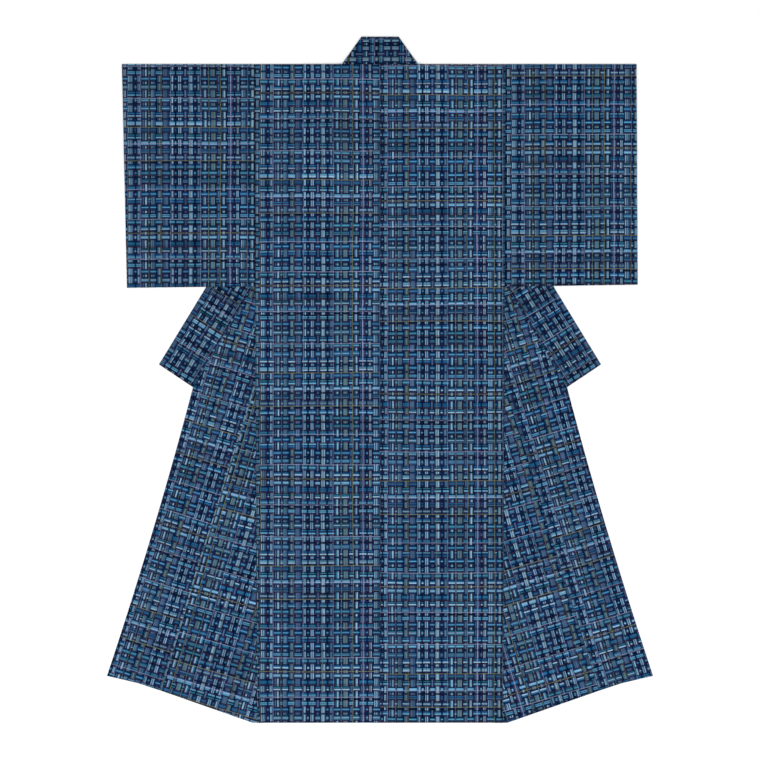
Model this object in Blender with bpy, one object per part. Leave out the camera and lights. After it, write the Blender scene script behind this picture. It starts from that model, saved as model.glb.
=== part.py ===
"""A kimono laid out flat with its back up and both fronts turned out from under the back.

Each half of the body is one length of cloth over the shoulder, so it lies in three layers: the
back on top, the front as far as a long fold from the neck to the hem, and the rest of the front
turned back out along that fold, under everything else. A sleeve is two layers, open at the cuff
and towards the body. All of it rests on Z = 0, X runs across the body and Y runs up to the collar.

Points of the cut are written as (out, down): out from the centre seam, down from the shoulder.
"""

import math

import bmesh
import bpy

# Cloth
CLOTH = 0.0012
SEAM_GAP = 0.0003
LAYER = CLOTH + SEAM_GAP
STEP_RUN = 0.012

# Body
SHOULDER_TO_HEM = 1.646
NECK_HALF = 0.068
BACK_HALF_AT_SHOULDER = 0.314
BACK_HALF_AT_HEM = 0.307
FOLD_AT_HEM = (0.3125, SHOULDER_TO_HEM)
FOLD_TOP_DOWN = 0.030
FOLD_END_DOWN = 1.590
SHOULDER_FOLD_END = 0.004

# Okumi, the long panel between the front and the collar
OKUMI_POINT = (0.146, 0.267)
OKUMI_SEAM_AT_HEM = (0.5475, 1.566)
OKUMI_HEM_MIDDLE = (0.605, 1.547)
OKUMI_HEM_CORNER = (0.6825, 1.529)
OKUMI_EDGE_BOW = 0.0065
OKUMI_EDGE_PARTS = 5

# Collar
COLLAR_RISE = 0.0685
COLLAR_TOP_HALF = 0.0465
COLLAR_BASE_HALF = 0.095
COLLAR_INNER_RISE = 0.0275
COLLAR_TIP = (0.5525, 0.7505)
COLLAR_HEEL = (0.4675, 0.8075)

# Sleeves: how far the cuff reaches from the centre, and how deep the sleeve hangs
CUFF_OPENING = 0.230
SLEEVES = {
    "left": {"cuff_top": 0.645, "cuff_bottom": 0.6325, "deep_at_cuff": 0.559, "deep_at_body": 0.555},
    "right": {"cuff_top": 0.641, "cuff_bottom": 0.6440, "deep_at_cuff": 0.551, "deep_at_body": 0.556},
}
SIDES = {"left": -1.0, "right": 1.0}

# Colour, sheen and tolerance
INDIGO = (0.037, 0.074, 0.138, 1.0)
CLOTH_ROUGHNESS = 0.85
SAME_POINT = 0.000005

# Places worked out from the sizes above
SHOULDER_Y = (SHOULDER_TO_HEM - COLLAR_RISE) / 2.0
NECK_POINT = (NECK_HALF, 0.0)
COLLAR_EDGE = ((COLLAR_BASE_HALF, 0.0), COLLAR_TIP)
FRONT_FOLD = (NECK_POINT, FOLD_AT_HEM)
SIDE_SEAM = ((BACK_HALF_AT_SHOULDER, 0.0), (BACK_HALF_AT_HEM, SHOULDER_TO_HEM))
SEAM_HALF = SEAM_GAP / 2.0


def between(start, end, share):
    """The point at a share of the way from start to end."""
    return tuple(a + (b - a) * share for a, b in zip(start, end))


def at_down(line, down):
    """The point of a line that lies so far down from the shoulder."""
    start, end = line
    return between(start, end, (down - start[1]) / (end[1] - start[1]))


def level_line(down):
    """A line straight across the body."""
    return ((0.0, down), (-1.0, down))


def outward(line, point):
    """Distance of a point from a line, positive on the side away from the centre."""
    (start_out, start_down), (end_out, end_down) = line
    run, drop = end_out - start_out, end_down - start_down
    across = (point[0] - start_out) * drop - (point[1] - start_down) * run
    return across / math.hypot(run, drop)


def moved(line, distance):
    """The line moved away from the centre."""
    (start_out, start_down), (end_out, end_down) = line
    run, drop = end_out - start_out, end_down - start_down
    length = math.hypot(run, drop)
    shift_out, shift_down = distance * drop / length, -distance * run / length
    return (
        (start_out + shift_out, start_down + shift_down),
        (end_out + shift_out, end_down + shift_down),
    )


def crossing(line_a, line_b):
    """The point where two lines meet."""
    (start, end), (other_start, _) = line_a, line_b
    near, far = outward(line_b, start), outward(line_b, end)
    if abs(near - far) < SAME_POINT:
        return other_start
    return between(start, end, near / (near - far))


def inset(rows):
    """Moves each side of an outline in by its own gap; a row is a corner and the next side's gap."""
    corners = [corner for corner, gap in rows]
    turn = sum(
        a[0] * b[1] - b[0] * a[1] for a, b in zip(corners, corners[1:] + corners[:1])
    )
    inward = -1.0 if turn > 0.0 else 1.0
    sides = []
    for (corner, gap), (following, _) in zip(rows, rows[1:] + rows[:1]):
        sides.append(moved((corner, following), inward * gap))
    outline = []
    for index, (corner, gap) in enumerate(rows):
        gap_before = rows[index - 1][1]
        straight = gap == 0.0 and gap_before == 0.0
        outline.append(corner if straight else crossing(sides[index], sides[index - 1]))
    return outline


def step(distance, start, run):
    """1 up to the start of a slope and 0 past its end, straight between."""
    return min(1.0, max(0.0, (start + run - distance) / run))


def floor_height(point):
    return 0.0


def front_height(point):
    """Underside of the front layer, which lies on the turned out front and then on the floor."""
    return LAYER * step(outward(COLLAR_EDGE, point), SEAM_GAP, STEP_RUN)


def back_height(point):
    """Underside of the back layer, which lies on the front layer and then on the floor."""
    return (LAYER + front_height(point)) * step(-outward(FRONT_FOLD, point), SEAM_GAP, 2 * STEP_RUN)


def collar_height(point):
    """Underside of the collar's outer half, which lies on its inner half."""
    return LAYER


def above(height, rise):
    """A height raised by a fixed amount."""
    return lambda point: height(point) + rise


COLLAR_EDGE_CREASES = [moved(COLLAR_EDGE, SEAM_GAP), moved(COLLAR_EDGE, SEAM_GAP + STEP_RUN)]
FRONT_FOLD_CREASES = [moved(FRONT_FOLD, -SEAM_GAP), moved(FRONT_FOLD, -SEAM_GAP - 2 * STEP_RUN)]


def middle(face):
    """Middle of a flat cell as (out, down)."""
    centre = face.calc_center_median()
    return (centre.x, centre.y)


def everywhere(point):
    return True


def cut(plan, line, where=everywhere):
    """Cuts the cells of a plan whose middles are picked along a line."""
    (start_out, start_down), (end_out, end_down) = line
    faces = [face for face in plan.faces if where(middle(face))]
    edges = {edge for face in faces for edge in face.edges}
    verts = {vert for face in faces for vert in face.verts}
    bmesh.ops.bisect_plane(
        plan,
        geom=faces + list(edges) + list(verts),
        dist=SAME_POINT,
        plane_co=(start_out, start_down, 0.0),
        plane_no=(end_down - start_down, start_out - end_out, 0.0),
    )


def plan_of(rows, lines):
    """A flat plan of cells: the outline, cut along lines."""
    plan = bmesh.new()
    plan.faces.new([plan.verts.new((out, down, 0.0)) for out, down in inset(rows)])
    for line in lines:
        cut(plan, line)
    return plan


def blocks(plan, low, high, where=everywhere):
    """Upright blocks over the picked cells of a plan, between two heights."""
    found = []
    for face in plan.faces:
        if where(middle(face)):
            corners = [(vert.co.x, vert.co.y) for vert in face.verts]
            found.append([(corner, low(corner), high(corner)) for corner in corners])
    return found


def block_faces(block, side):
    """The faces of one block in world places, all pointing out."""
    ring = [(side * out, SHOULDER_Y - down, low, high) for (out, down), low, high in block]
    turn = sum(a[0] * b[1] - b[0] * a[1] for a, b in zip(ring, ring[1:] + ring[:1]))
    if turn < 0.0:
        ring.reverse()
    bottom = [(x, y, low) for x, y, low, high in ring]
    top = [(x, y, high) for x, y, low, high in ring]
    faces = [top, bottom[::-1]]
    for index in range(len(ring)):
        following = (index + 1) % len(ring)
        faces.append([bottom[index], bottom[following], top[following], top[index]])
    return faces


def index_of(point, points):
    """Place of a point in the list, which it joins if it is new."""
    for index, known in enumerate(points):
        if math.dist(known, point) < SAME_POINT:
            return index
    points.append(point)
    return len(points) - 1


def cloth_material(name):
    material = bpy.data.materials.new(name)
    material.use_nodes = True
    shader = material.node_tree.nodes["Principled BSDF"]
    shader.inputs["Base Color"].default_value = INDIGO
    shader.inputs["Roughness"].default_value = CLOTH_ROUGHNESS
    shader.inputs["Metallic"].default_value = 0.0
    material.diffuse_color = INDIGO
    return material


def make_piece(name, side, stacked):
    """Joins blocks into one closed wall: a face that two blocks share lies inside and goes."""
    points = []
    outer = {}
    for block in stacked:
        for face in block_faces(block, side):
            corners = [index_of(point, points) for point in face]
            key = frozenset(corners)
            if key in outer:
                del outer[key]
            else:
                outer[key] = corners
    mesh = bpy.data.meshes.new(name)
    mesh.from_pydata(points, [], list(outer.values()))
    mesh.materials.append(cloth_material(name))
    piece = bpy.data.objects.new(name, mesh)
    bpy.context.collection.objects.link(piece)
    return piece


def make_body(name, side):
    """One half of the body: back, front layer and turned out front, joined at two folds."""
    back = plan_of(
        [
            ((BACK_HALF_AT_SHOULDER, 0.0), 0.0),
            ((0.0, 0.0), SEAM_HALF),
            ((0.0, SHOULDER_TO_HEM), 0.0),
            ((BACK_HALF_AT_HEM, SHOULDER_TO_HEM), SEAM_HALF),
        ],
        [level_line(CLOTH)] + COLLAR_EDGE_CREASES + FRONT_FOLD_CREASES,
    )
    under_back = plan_of(
        [
            ((BACK_HALF_AT_SHOULDER, 0.0), 0.0),
            (NECK_POINT, 0.0),
            (at_down(FRONT_FOLD, FOLD_END_DOWN), 0.0),
            (at_down(SIDE_SEAM, FOLD_END_DOWN), SEAM_HALF),
        ],
        [level_line(CLOTH), level_line(FOLD_TOP_DOWN), moved(FRONT_FOLD, CLOTH)] + COLLAR_EDGE_CREASES,
    )
    collar_seam_top = (NECK_POINT, OKUMI_POINT)
    turned_out = plan_of(
        [
            (at_down(FRONT_FOLD, FOLD_TOP_DOWN), 0.0),
            (FOLD_AT_HEM, 0.0),
            (OKUMI_SEAM_AT_HEM, SEAM_HALF),
            (OKUMI_POINT, SEAM_HALF),
            (at_down(collar_seam_top, FOLD_TOP_DOWN), 0.0),
        ],
        [moved(FRONT_FOLD, CLOTH)],
    )

    def in_shoulder_strip(point):
        return point[1] < CLOTH

    def in_shoulder_fold(point):
        return in_shoulder_strip(point) and point[0] > NECK_HALF + SHOULDER_FOLD_END

    def in_front_strip(point):
        return outward(FRONT_FOLD, point) < CLOTH

    def in_front_fold(point):
        return in_front_strip(point) and point[1] < FOLD_END_DOWN

    fold_end = ((NECK_HALF + SHOULDER_FOLD_END, 0.0), (NECK_HALF + SHOULDER_FOLD_END, 1.0))
    cut(back, fold_end, in_shoulder_strip)
    cut(under_back, fold_end, in_shoulder_strip)
    cut(turned_out, level_line(FOLD_END_DOWN), in_front_strip)
    stacked = blocks(back, back_height, above(back_height, CLOTH))
    stacked += blocks(under_back, front_height, above(front_height, CLOTH))
    stacked += blocks(turned_out, floor_height, above(floor_height, CLOTH))
    stacked += blocks(under_back, above(front_height, CLOTH), back_height, in_shoulder_fold)
    stacked += blocks(turned_out, above(floor_height, CLOTH), front_height, in_front_fold)
    make_piece(name, side, stacked)


def make_sleeve(name, side, sizes):
    """A sleeve: two layers joined at the shoulder, along the bottom and below the cuff's opening."""
    body_end = at_down(SIDE_SEAM, sizes["deep_at_body"])
    cuff_end = (sizes["cuff_bottom"], sizes["deep_at_cuff"])
    cuff_top = (sizes["cuff_top"], 0.0)
    bottom = (cuff_end, body_end)
    cuff = (cuff_top, cuff_end)
    plan = plan_of(
        [
            ((BACK_HALF_AT_SHOULDER, 0.0), SEAM_HALF),
            (body_end, 0.0),
            (cuff_end, 0.0),
            (cuff_top, 0.0),
        ],
        [level_line(CLOTH), moved(bottom, -CLOTH), moved(cuff, -CLOTH)] + COLLAR_EDGE_CREASES,
    )

    def in_cuff_strip(point):
        return outward(cuff, point) > -CLOTH

    def joined(point):
        at_shoulder = point[1] < CLOTH
        at_bottom = outward(bottom, point) > -CLOTH
        below_opening = in_cuff_strip(point) and point[1] > CUFF_OPENING
        return at_shoulder or at_bottom or below_opening

    cut(plan, level_line(CUFF_OPENING), in_cuff_strip)
    upper_height = above(front_height, LAYER)
    stacked = blocks(plan, front_height, above(front_height, CLOTH))
    stacked += blocks(plan, upper_height, above(upper_height, CLOTH))
    stacked += blocks(plan, above(front_height, CLOTH), upper_height, joined)
    make_piece(name, side, stacked)


def okumi_edge():
    """Free front edge from the hem to the collar, bowed in a little."""
    points = []
    for part in range(1, OKUMI_EDGE_PARTS):
        share = part / OKUMI_EDGE_PARTS
        out, down = between(OKUMI_HEM_CORNER, COLLAR_HEEL, share)
        points.append((out - OKUMI_EDGE_BOW * 4.0 * share * (1.0 - share), down))
    return points


def make_okumi(name, side):
    """The panel sewn to the turned out front, narrowing to a point at the collar."""
    rows = [
        (OKUMI_POINT, SEAM_HALF),
        (OKUMI_SEAM_AT_HEM, 0.0),
        (OKUMI_HEM_MIDDLE, 0.0),
        (OKUMI_HEM_CORNER, 0.0),
    ]
    rows += [(point, 0.0) for point in okumi_edge()]
    rows.append((COLLAR_HEEL, SEAM_HALF))
    plan = plan_of(rows, [])
    make_piece(name, side, blocks(plan, floor_height, above(floor_height, CLOTH)))


def mirrored(rows):
    """An outline's rows carried on round its other half, with each gap on the same side again."""
    corners = [corner for corner, gap in rows]
    gaps = [gap for corner, gap in rows]
    other = [(-out, down) for out, down in reversed(corners)]
    other_gaps = list(reversed(gaps[:-1])) + [0.0]
    return rows + list(zip(other, other_gaps))


def make_collar(name):
    """The collar: one band down both fronts, doubled over at the back of the neck."""
    top_corner = (COLLAR_TOP_HALF, -COLLAR_RISE)
    slant = (top_corner, (COLLAR_BASE_HALF, 0.0))
    other_slant = ((-COLLAR_BASE_HALF, 0.0), (-COLLAR_TOP_HALF, -COLLAR_RISE))
    outer_base = level_line(-SEAM_GAP)
    top_strip_end = level_line(-COLLAR_RISE + CLOTH)
    inner_half = plan_of(
        mirrored(
            [
                (top_corner, 0.0),
                ((COLLAR_BASE_HALF, 0.0), 0.0),
                (COLLAR_TIP, 0.0),
                (COLLAR_HEEL, SEAM_HALF),
                (OKUMI_POINT, SEAM_HALF),
                (NECK_POINT, 0.0),
                ((NECK_HALF, -COLLAR_INNER_RISE), 0.0),
            ]
        ),
        [outer_base, top_strip_end],
    )
    base_corner = at_down(slant, -SEAM_GAP)
    outer_half = plan_of(mirrored([(top_corner, 0.0), (base_corner, 0.0)]), [top_strip_end])

    def above_base(point):
        return point[1] < -SEAM_GAP

    def joined(point):
        at_top = point[1] < -COLLAR_RISE + CLOTH
        at_slant = outward(slant, point) > -CLOTH or outward(other_slant, point) > -CLOTH
        return above_base(point) and (at_top or at_slant)

    for plan in (inner_half, outer_half):
        cut(plan, moved(slant, -CLOTH), above_base)
        cut(plan, moved(other_slant, -CLOTH), above_base)
    stacked = blocks(inner_half, floor_height, above(floor_height, CLOTH))
    stacked += blocks(outer_half, collar_height, above(collar_height, CLOTH))
    stacked += blocks(outer_half, above(floor_height, CLOTH), collar_height, joined)
    make_piece(name, 1.0, stacked)


def main():
    for thing in list(bpy.data.objects):
        bpy.data.objects.remove(thing, do_unlink=True)
    for side_name, side in SIDES.items():
        make_body("body_" + side_name, side)
        make_sleeve("sleeve_" + side_name, side, SLEEVES[side_name])
        make_okumi("okumi_" + side_name, side)
    make_collar("collar")


main()
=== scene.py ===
"""The cloth of a kimono that lies flat with its back up, its block weave, and the table it lies on.

Every cut piece starts as a flat grid of cloth, cut to shape with bisect, and is then folded and
laid in the space of its solid. Points of the cut are written as (out, down): out from the centre
seam, down from the shoulder. On the flat cloth of a body half or a sleeve the second number is
negative for the front, which is on the far side of the shoulder.
"""

import math

import bmesh
import bpy
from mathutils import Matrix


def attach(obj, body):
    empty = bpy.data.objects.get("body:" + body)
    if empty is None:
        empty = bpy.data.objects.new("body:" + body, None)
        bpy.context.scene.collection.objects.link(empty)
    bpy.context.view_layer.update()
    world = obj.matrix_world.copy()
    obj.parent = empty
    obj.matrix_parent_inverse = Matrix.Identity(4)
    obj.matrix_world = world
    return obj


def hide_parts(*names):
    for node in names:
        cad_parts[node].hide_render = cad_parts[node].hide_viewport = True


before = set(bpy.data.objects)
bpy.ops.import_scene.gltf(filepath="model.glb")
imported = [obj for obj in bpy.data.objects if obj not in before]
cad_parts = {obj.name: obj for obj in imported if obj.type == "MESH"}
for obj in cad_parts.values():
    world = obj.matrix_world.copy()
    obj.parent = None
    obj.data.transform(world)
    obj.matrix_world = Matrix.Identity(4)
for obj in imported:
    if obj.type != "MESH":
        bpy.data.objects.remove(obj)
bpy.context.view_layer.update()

bl_info = {
    "name": "Kimono laid flat",
    "version": (1, 0, 0),
    "blender": (4, 5, 0),
    "location": "View3D > Sidebar > Kimono",
    "description": "Cuts, folds and lays the pieces of a kimono in a block weave",
    "category": "Add Mesh",
}

# The cut, as in the solids, but the fold ends 9.5 mm further in and the hem corner 6.5 mm further out
SHOULDER_TO_HEM = 1.646
SEAM_GAP = 0.0003
SEAM_HALF = SEAM_GAP / 2.0
LAYER = 0.0015
STEP_RUN = 0.012
NECK_HALF = 0.068
BACK_HALF_AT_SHOULDER = 0.314
BACK_HALF_AT_HEM = 0.307
FOLD_AT_HEM = (0.3030, SHOULDER_TO_HEM)
FRONT_HEM_CORNER = (0.3190, SHOULDER_TO_HEM)
FOLD_TOP_DOWN = 0.030
FOLD_END_DOWN = 1.590
OKUMI_POINT = (0.146, 0.267)
OKUMI_SEAM_AT_HEM = (0.5475, 1.566)
OKUMI_HEM_MIDDLE = (0.605, 1.547)
OKUMI_HEM_CORNER = (0.6825, 1.529)
OKUMI_EDGE_BOW = 0.0065
COLLAR_RISE = 0.0685
COLLAR_TOP_HALF = 0.0465
COLLAR_BASE_HALF = 0.095
COLLAR_INNER_RISE = 0.0275
COLLAR_TIP = (0.5525, 0.7505)
COLLAR_HEEL = (0.4675, 0.8075)
CUFF_OPENING = 0.230
SLEEVES = {
    "left": {"cuff_top": 0.645, "cuff_bottom": 0.6325, "deep_at_cuff": 0.559, "deep_at_body": 0.555},
    "right": {"cuff_top": 0.641, "cuff_bottom": 0.6440, "deep_at_cuff": 0.551, "deep_at_body": 0.556},
}
SIDES = {"left": -1.0, "right": 1.0}

# Lines of the cut
NECK_POINT = (NECK_HALF, 0.0)
SHOULDER_Y = (SHOULDER_TO_HEM - COLLAR_RISE) / 2.0
COLLAR_EDGE = ((COLLAR_BASE_HALF, 0.0), COLLAR_TIP)
FRONT_FOLD = (NECK_POINT, FOLD_AT_HEM)
SIDE_SEAM = ((BACK_HALF_AT_SHOULDER, 0.0), (BACK_HALF_AT_HEM, SHOULDER_TO_HEM))
OKUMI_SEAM = (OKUMI_POINT, OKUMI_SEAM_AT_HEM)
COLLAR_SEAM_TOP = (NECK_POINT, OKUMI_POINT)
COLLAR_SEAM = (OKUMI_POINT, COLLAR_HEEL)
COLLAR_END = (COLLAR_TIP, COLLAR_HEEL)
COLLAR_SLANT = ((COLLAR_TOP_HALF, -COLLAR_RISE), (COLLAR_BASE_HALF, 0.0))

# Making
SAME_POINT = 0.000002
SEWN_TOGETHER = 0.00002
FOLD_CUTS = (-1.0, -0.67, -0.33, 0.0, 0.33, 0.67, 1.0)
SLOPE_CUTS = (0.0, 0.35, 0.65, 1.0)
EDGE_CUTS = (0.0015, 0.004, 0.008, 0.013)
NEAR_FOLD = 0.03
SHARP_ANGLE = math.radians(55.0)
SHOULDER_FOLD_RUN = 0.004
LONG_FOLD_EASE = 0.005
CUFF_EASE = 0.010
NECK_PART = 0.11
OKUMI_HEM_PART = 0.1
HEEL_PART = (-0.01, 0.03)
LEG_SHORT_OF_SLANT = 0.0014

# Spare cloth round the cuts on the flat grids
SPARE_ACROSS = 0.004
SPARE_ALONG = 0.01
SLEEVE_SPARE = (0.002, 0.004)
LEG_SPARE = 0.002
LEG_GRID_WIDTH = 0.108
LEG_GRID_START = -0.08
NECK_SPARE = 0.01

# Painted shade beside seams and edges, where the cloth turns under or lies below another layer: how far
# it reaches, and how strong it is
PAINTED_SHADE = {
    "centre seam": (0.003, 0.6),
    "side seam": (0.0035, 1.4),
    "round side seam": (0.014, 0.70),
    "back edges": (0.003, 0.5),
    "front edges": (0.004, 0.6),
    "armhole": (0.0045, 1.4),
    "sleeve edges": (0.004, 0.7),
    "okumi edges": (0.004, 0.55),
    "collar edges": (0.004, 0.75),
    "neck edges": (0.004, 0.9),
}
# The sleeves are painted darker all over, as painted shade for less light towards the top; the collar and
# the doubled neck are darker cloth, their own tone
SLEEVE_PAINTED_SHADE = 0.12
COLLAR_DARK = 0.26
NECK_DARK = 0.50

# Soft swells of the cloth: middle (x, y), turn from +X in degrees, half length, half width, rise
SWELLS = (
    (-0.17, 0.52, 78.0, 0.26, 0.050, 0.0011),
    (0.14, 0.30, 96.0, 0.30, 0.055, 0.0012),
    (-0.10, -0.18, 84.0, 0.34, 0.048, 0.0010),
    (0.19, -0.36, 101.0, 0.28, 0.052, 0.0012),
    (-0.20, -0.60, 93.0, 0.20, 0.042, 0.0009),
    (0.04, -0.66, 80.0, 0.22, 0.046, 0.0008),
    (-0.49, 0.58, 12.0, 0.15, 0.045, 0.0012),
    (-0.46, 0.36, -9.0, 0.13, 0.040, 0.0010),
    (0.47, 0.61, -14.0, 0.16, 0.046, 0.0011),
    (0.50, 0.38, 7.0, 0.13, 0.042, 0.0012),
    (-0.44, -0.30, 68.0, 0.30, 0.038, 0.0012),
    (0.42, -0.22, 114.0, 0.28, 0.040, 0.0011),
    (-0.52, -0.56, 74.0, 0.18, 0.034, 0.0008),
    (0.53, -0.52, 104.0, 0.20, 0.036, 0.0009),
    (-0.13, 0.69, 118.0, 0.10, 0.018, 0.0005),
    (0.12, 0.68, 64.0, 0.11, 0.018, 0.0005),
    (-0.25, 0.22, 42.0, 0.09, 0.017, 0.0004),
    (0.24, 0.21, 136.0, 0.10, 0.017, 0.0004),
    (0.02, 0.04, 92.0, 0.22, 0.030, 0.0006),
)

# Warp of one bolt: width in mm, how it is filled, then its first, second, halo and edge colour
WARP_CHART = (
    (14, "plain", "mist", "slate", "deep", "navy"),
    (18, "broad", "slate", "mist", "navy", "ink"),
    (4, "thin", "navy", "navy", "ink", "ink"),
    (13, "plain", "mist", "slate", "deep", "navy"),
    (17, "double", "slate", "mist", "navy", "aubergine"),
    (5, "thin", "deep", "deep", "navy", "ink"),
    (14, "broad", "slate", "moss", "deep", "navy"),
    (16, "graded", "moss", "slate", "navy", "ink"),
    (18, "broad", "slate", "haze", "deep", "aubergine"),
    (13, "graded", "mist", "sea", "navy", "navy"),
    (4, "thin", "ink", "ink", "ink", "ink"),
    (17, "plain", "mist", "slate", "deep", "ink"),
    (11, "plain", "haze", "slate", "navy", "navy"),
    (16, "broad", "mist", "slate", "deep", "navy"),
    (5, "thin", "navy", "navy", "ink", "ink"),
    (14, "plain", "slate", "moss", "deep", "navy"),
    (16, "graded", "mist", "sea", "deep", "aubergine"),
    (4, "thin", "sea", "sea", "navy", "ink"),
    (18, "broad", "moss", "slate", "navy", "navy"),
    (10, "plain", "slate", "slate", "deep", "aubergine"),
    (15, "graded", "mist", "slate", "navy", "ink"),
    (17, "double", "slate", "haze", "deep", "navy"),
    (4, "thin", "navy", "navy", "ink", "navy"),
    (13, "plain", "mist", "moss", "navy", "aubergine"),
    (18, "broad", "slate", "mist", "deep", "navy"),
    (5, "thin", "deep", "deep", "ink", "ink"),
    (14, "graded", "mist", "moss", "deep", "ink"),
    (13, "plain", "slate", "sea", "navy", "navy"),
    (9, "plain", "azure", "sea", "navy", "navy"),
    (16, "double", "mist", "slate", "deep", "aubergine"),
)

# Weft, row after row down the bolt, in the same way
WEFT_CHART = (
    (16, "plain", "azure", "aqua", "deep", "navy"),
    (5, "thin", "deep", "deep", "navy", "navy"),
    (15, "plain", "aqua", "azure", "deep", "navy"),
    (17, "plain", "sea", "aqua", "deep", "ink"),
    (16, "graded", "mist", "azure", "deep", "navy"),
    (6, "thin", "navy", "navy", "ink", "ink"),
    (15, "plain", "aqua", "mist", "deep", "aubergine"),
    (18, "plain", "azure", "sea", "deep", "navy"),
    (14, "double", "sea", "mist", "deep", "aubergine"),
    (17, "graded", "aqua", "azure", "deep", "aubergine"),
    (5, "thin", "ink", "ink", "ink", "navy"),
    (16, "plain", "aqua", "sea", "deep", "ink"),
    (15, "plain", "azure", "aqua", "navy", "aubergine"),
    (5, "thin", "deep", "deep", "navy", "ink"),
    (16, "plain", "slate", "mist", "sea", "navy"),
    (17, "double", "azure", "aqua", "deep", "ink"),
    (15, "graded", "aqua", "sea", "deep", "aubergine"),
    (6, "thin", "navy", "navy", "ink", "ink"),
    (16, "plain", "slate", "aqua", "azure", "navy"),
    (16, "double", "azure", "mist", "deep", "navy"),
    (5, "thin", "deep", "deep", "navy", "navy"),
    (18, "graded", "mist", "aqua", "azure", "navy"),
    (15, "plain", "azure", "slate", "deep", "aubergine"),
    (17, "double", "sea", "aqua", "navy", "ink"),
    (16, "plain", "aqua", "mist", "azure", "navy"),
    (5, "thin", "navy", "navy", "ink", "ink"),
    (14, "double", "azure", "slate", "deep", "aubergine"),
    (18, "plain", "slate", "mist", "deep", "aubergine"),
    (6, "thin", "ink", "ink", "ink", "navy"),
    (16, "graded", "aqua", "azure", "deep", "navy"),
    (15, "plain", "sea", "aqua", "deep", "ink"),
    (5, "thin", "navy", "navy", "ink", "ink"),
    (16, "graded", "slate", "sea", "deep", "navy"),
    (17, "plain", "sea", "azure", "deep", "aubergine"),
    (15, "plain", "azure", "aqua", "deep", "navy"),
    (18, "double", "aqua", "azure", "deep", "aubergine"),
)

# How a column or row is filled: share of its width where each colour starts
FILLINGS = {
    "plain": (
        ("edge", 0.0),
        ("halo", 0.17),
        ("first", 0.28),
        ("second", 0.42),
        ("first", 0.54),
        ("halo", 0.69),
        ("ground", 0.80),
    ),
    "broad": (
        ("edge", 0.0),
        ("second", 0.15),
        ("first", 0.27),
        ("second", 0.45),
        ("first", 0.52),
        ("halo", 0.76),
        ("ground", 0.87),
    ),
    "double": (
        ("edge", 0.0),
        ("first", 0.17),
        ("halo", 0.36),
        ("second", 0.52),
        ("ground", 0.76),
    ),
    "graded": (
        ("edge", 0.0),
        ("halo", 0.15),
        ("second", 0.25),
        ("first", 0.46),
        ("edge", 0.70),
        ("ground", 0.84),
    ),
    "thin": (("edge", 0.0), ("first", 0.25), ("ground", 0.75)),
}

# Single bright threads: place and width in mm, colour
WARP_THREADS = (
    (13, 1.5, "olive"),
    (46, 1.3, "lilac"),
    (66, 1.5, "olive"),
    (97, 1.5, "olive"),
    (121, 1.3, "lilac"),
    (142, 1.5, "russet"),
    (168, 1.5, "olive"),
    (196, 1.3, "lilac"),
    (216, 1.5, "olive"),
    (245, 1.5, "olive"),
    (270, 1.3, "lilac"),
    (289, 1.5, "russet"),
    (313, 1.5, "olive"),
    (334, 1.3, "lilac"),
    (354, 1.5, "olive"),
)
WEFT_THREADS = (
    (35, 1.8, "lilac"),
    (71, 1.6, "olive"),
    (104, 1.5, "russet"),
    (135, 1.8, "lilac"),
    (179, 1.6, "olive"),
    (214, 1.8, "lilac"),
    (252, 1.5, "russet"),
    (288, 1.6, "olive"),
    (330, 1.8, "lilac"),
    (371, 1.6, "olive"),
    (408, 1.5, "russet"),
    (443, 1.8, "lilac"),
)
STOPS_IN_A_RAMP = 24
MM = 0.001

# How threads stray: noise cells in a metre, and reach
STRAYS = ((5.0, 0.0060), (170.0, 0.0009))

# Noise cells in a metre, across the bolt and along it
WARP_SLUB = (1500.0, 55.0)
WEFT_SLUB = (55.0, 1500.0)
WARP_STRIPE = (480.0, 2.5)
WEFT_STRIPE = (2.5, 420.0)
ROW_DYE = (1.5, 28.0)
DYE = 34.0

# The part of a noise that is used, and how far it changes the light
SLUB_RANGE = (0.2, 0.8)
NOISE_RANGE = (0.25, 0.75)
SLUB_SWING = 0.20
# The most painted shade and darker collar tone that is taken from the mesh
FULLEST_SHADE_AND_TONE = 1.5
RIB_IN_RELIEF = 0.40
BUMP_STRENGTH = 0.6
SHEEN_ROUGHNESS = 0.5

# Stage
TABLE_ROUGHNESS = 0.9
TABLE_GLOSS = 0.1
LAMP_PLACE = (-0.6, -4.2, 5.6)

# Where each piece starts on the bolt: across the warp and along the weft rows
BOLT_START = {
    "body_left": (0.0, 0.000),
    "body_right": (0.028, 0.212),
    "sleeve_left": (0.0, 0.131),
    "sleeve_right": (0.0, 0.343),
    "okumi_left": (0.020, 0.077),
    "okumi_right": (0.020, 0.291),
    "collar": (0.104, 0.150),
}
NECK_ON_BOLT = 0.012


def linear(tone):
    """A colour channel from 0 to 255 as a share of light, by the usual curve of a screen."""
    level = tone / 255.0
    if level <= 0.04045:
        return level / 12.92
    return ((level + 0.055) / 1.055) ** 2.4


def length(name, description, default):
    return bpy.props.FloatProperty(
        name=name, description=description, default=default, min=0.0, precision=4, unit="LENGTH"
    )


def share(name, description, default):
    return bpy.props.FloatProperty(
        name=name, description=description, default=default, min=0.0, max=1.0, subtype="FACTOR"
    )


def colour(name, description, red, green, blue):
    return bpy.props.FloatVectorProperty(
        name=name,
        description=description,
        default=(linear(red), linear(green), linear(blue)),
        size=3,
        min=0.0,
        max=1.0,
        subtype="COLOR",
    )


class KimonoCloth(bpy.types.PropertyGroup):
    """Sizes of the cloth itself."""

    thickness: length("Thickness", "Thickness of the cloth", 0.0010)
    above_floor: length("Above floor", "Air between the lowest cloth and the table", 0.00005)
    cell: length("Cell", "Side of one cell of the flat cloth", 0.010)
    puff: length("Puff", "How much higher cloth lies away from its seams", 0.00040)
    puff_run: length("Puff run", "Distance from a seam over which the cloth rises", 0.010)
    swell: bpy.props.FloatProperty(
        name="Swell", description="Strength of the soft swells of the cloth", default=3.4, min=0.0
    )


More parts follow.
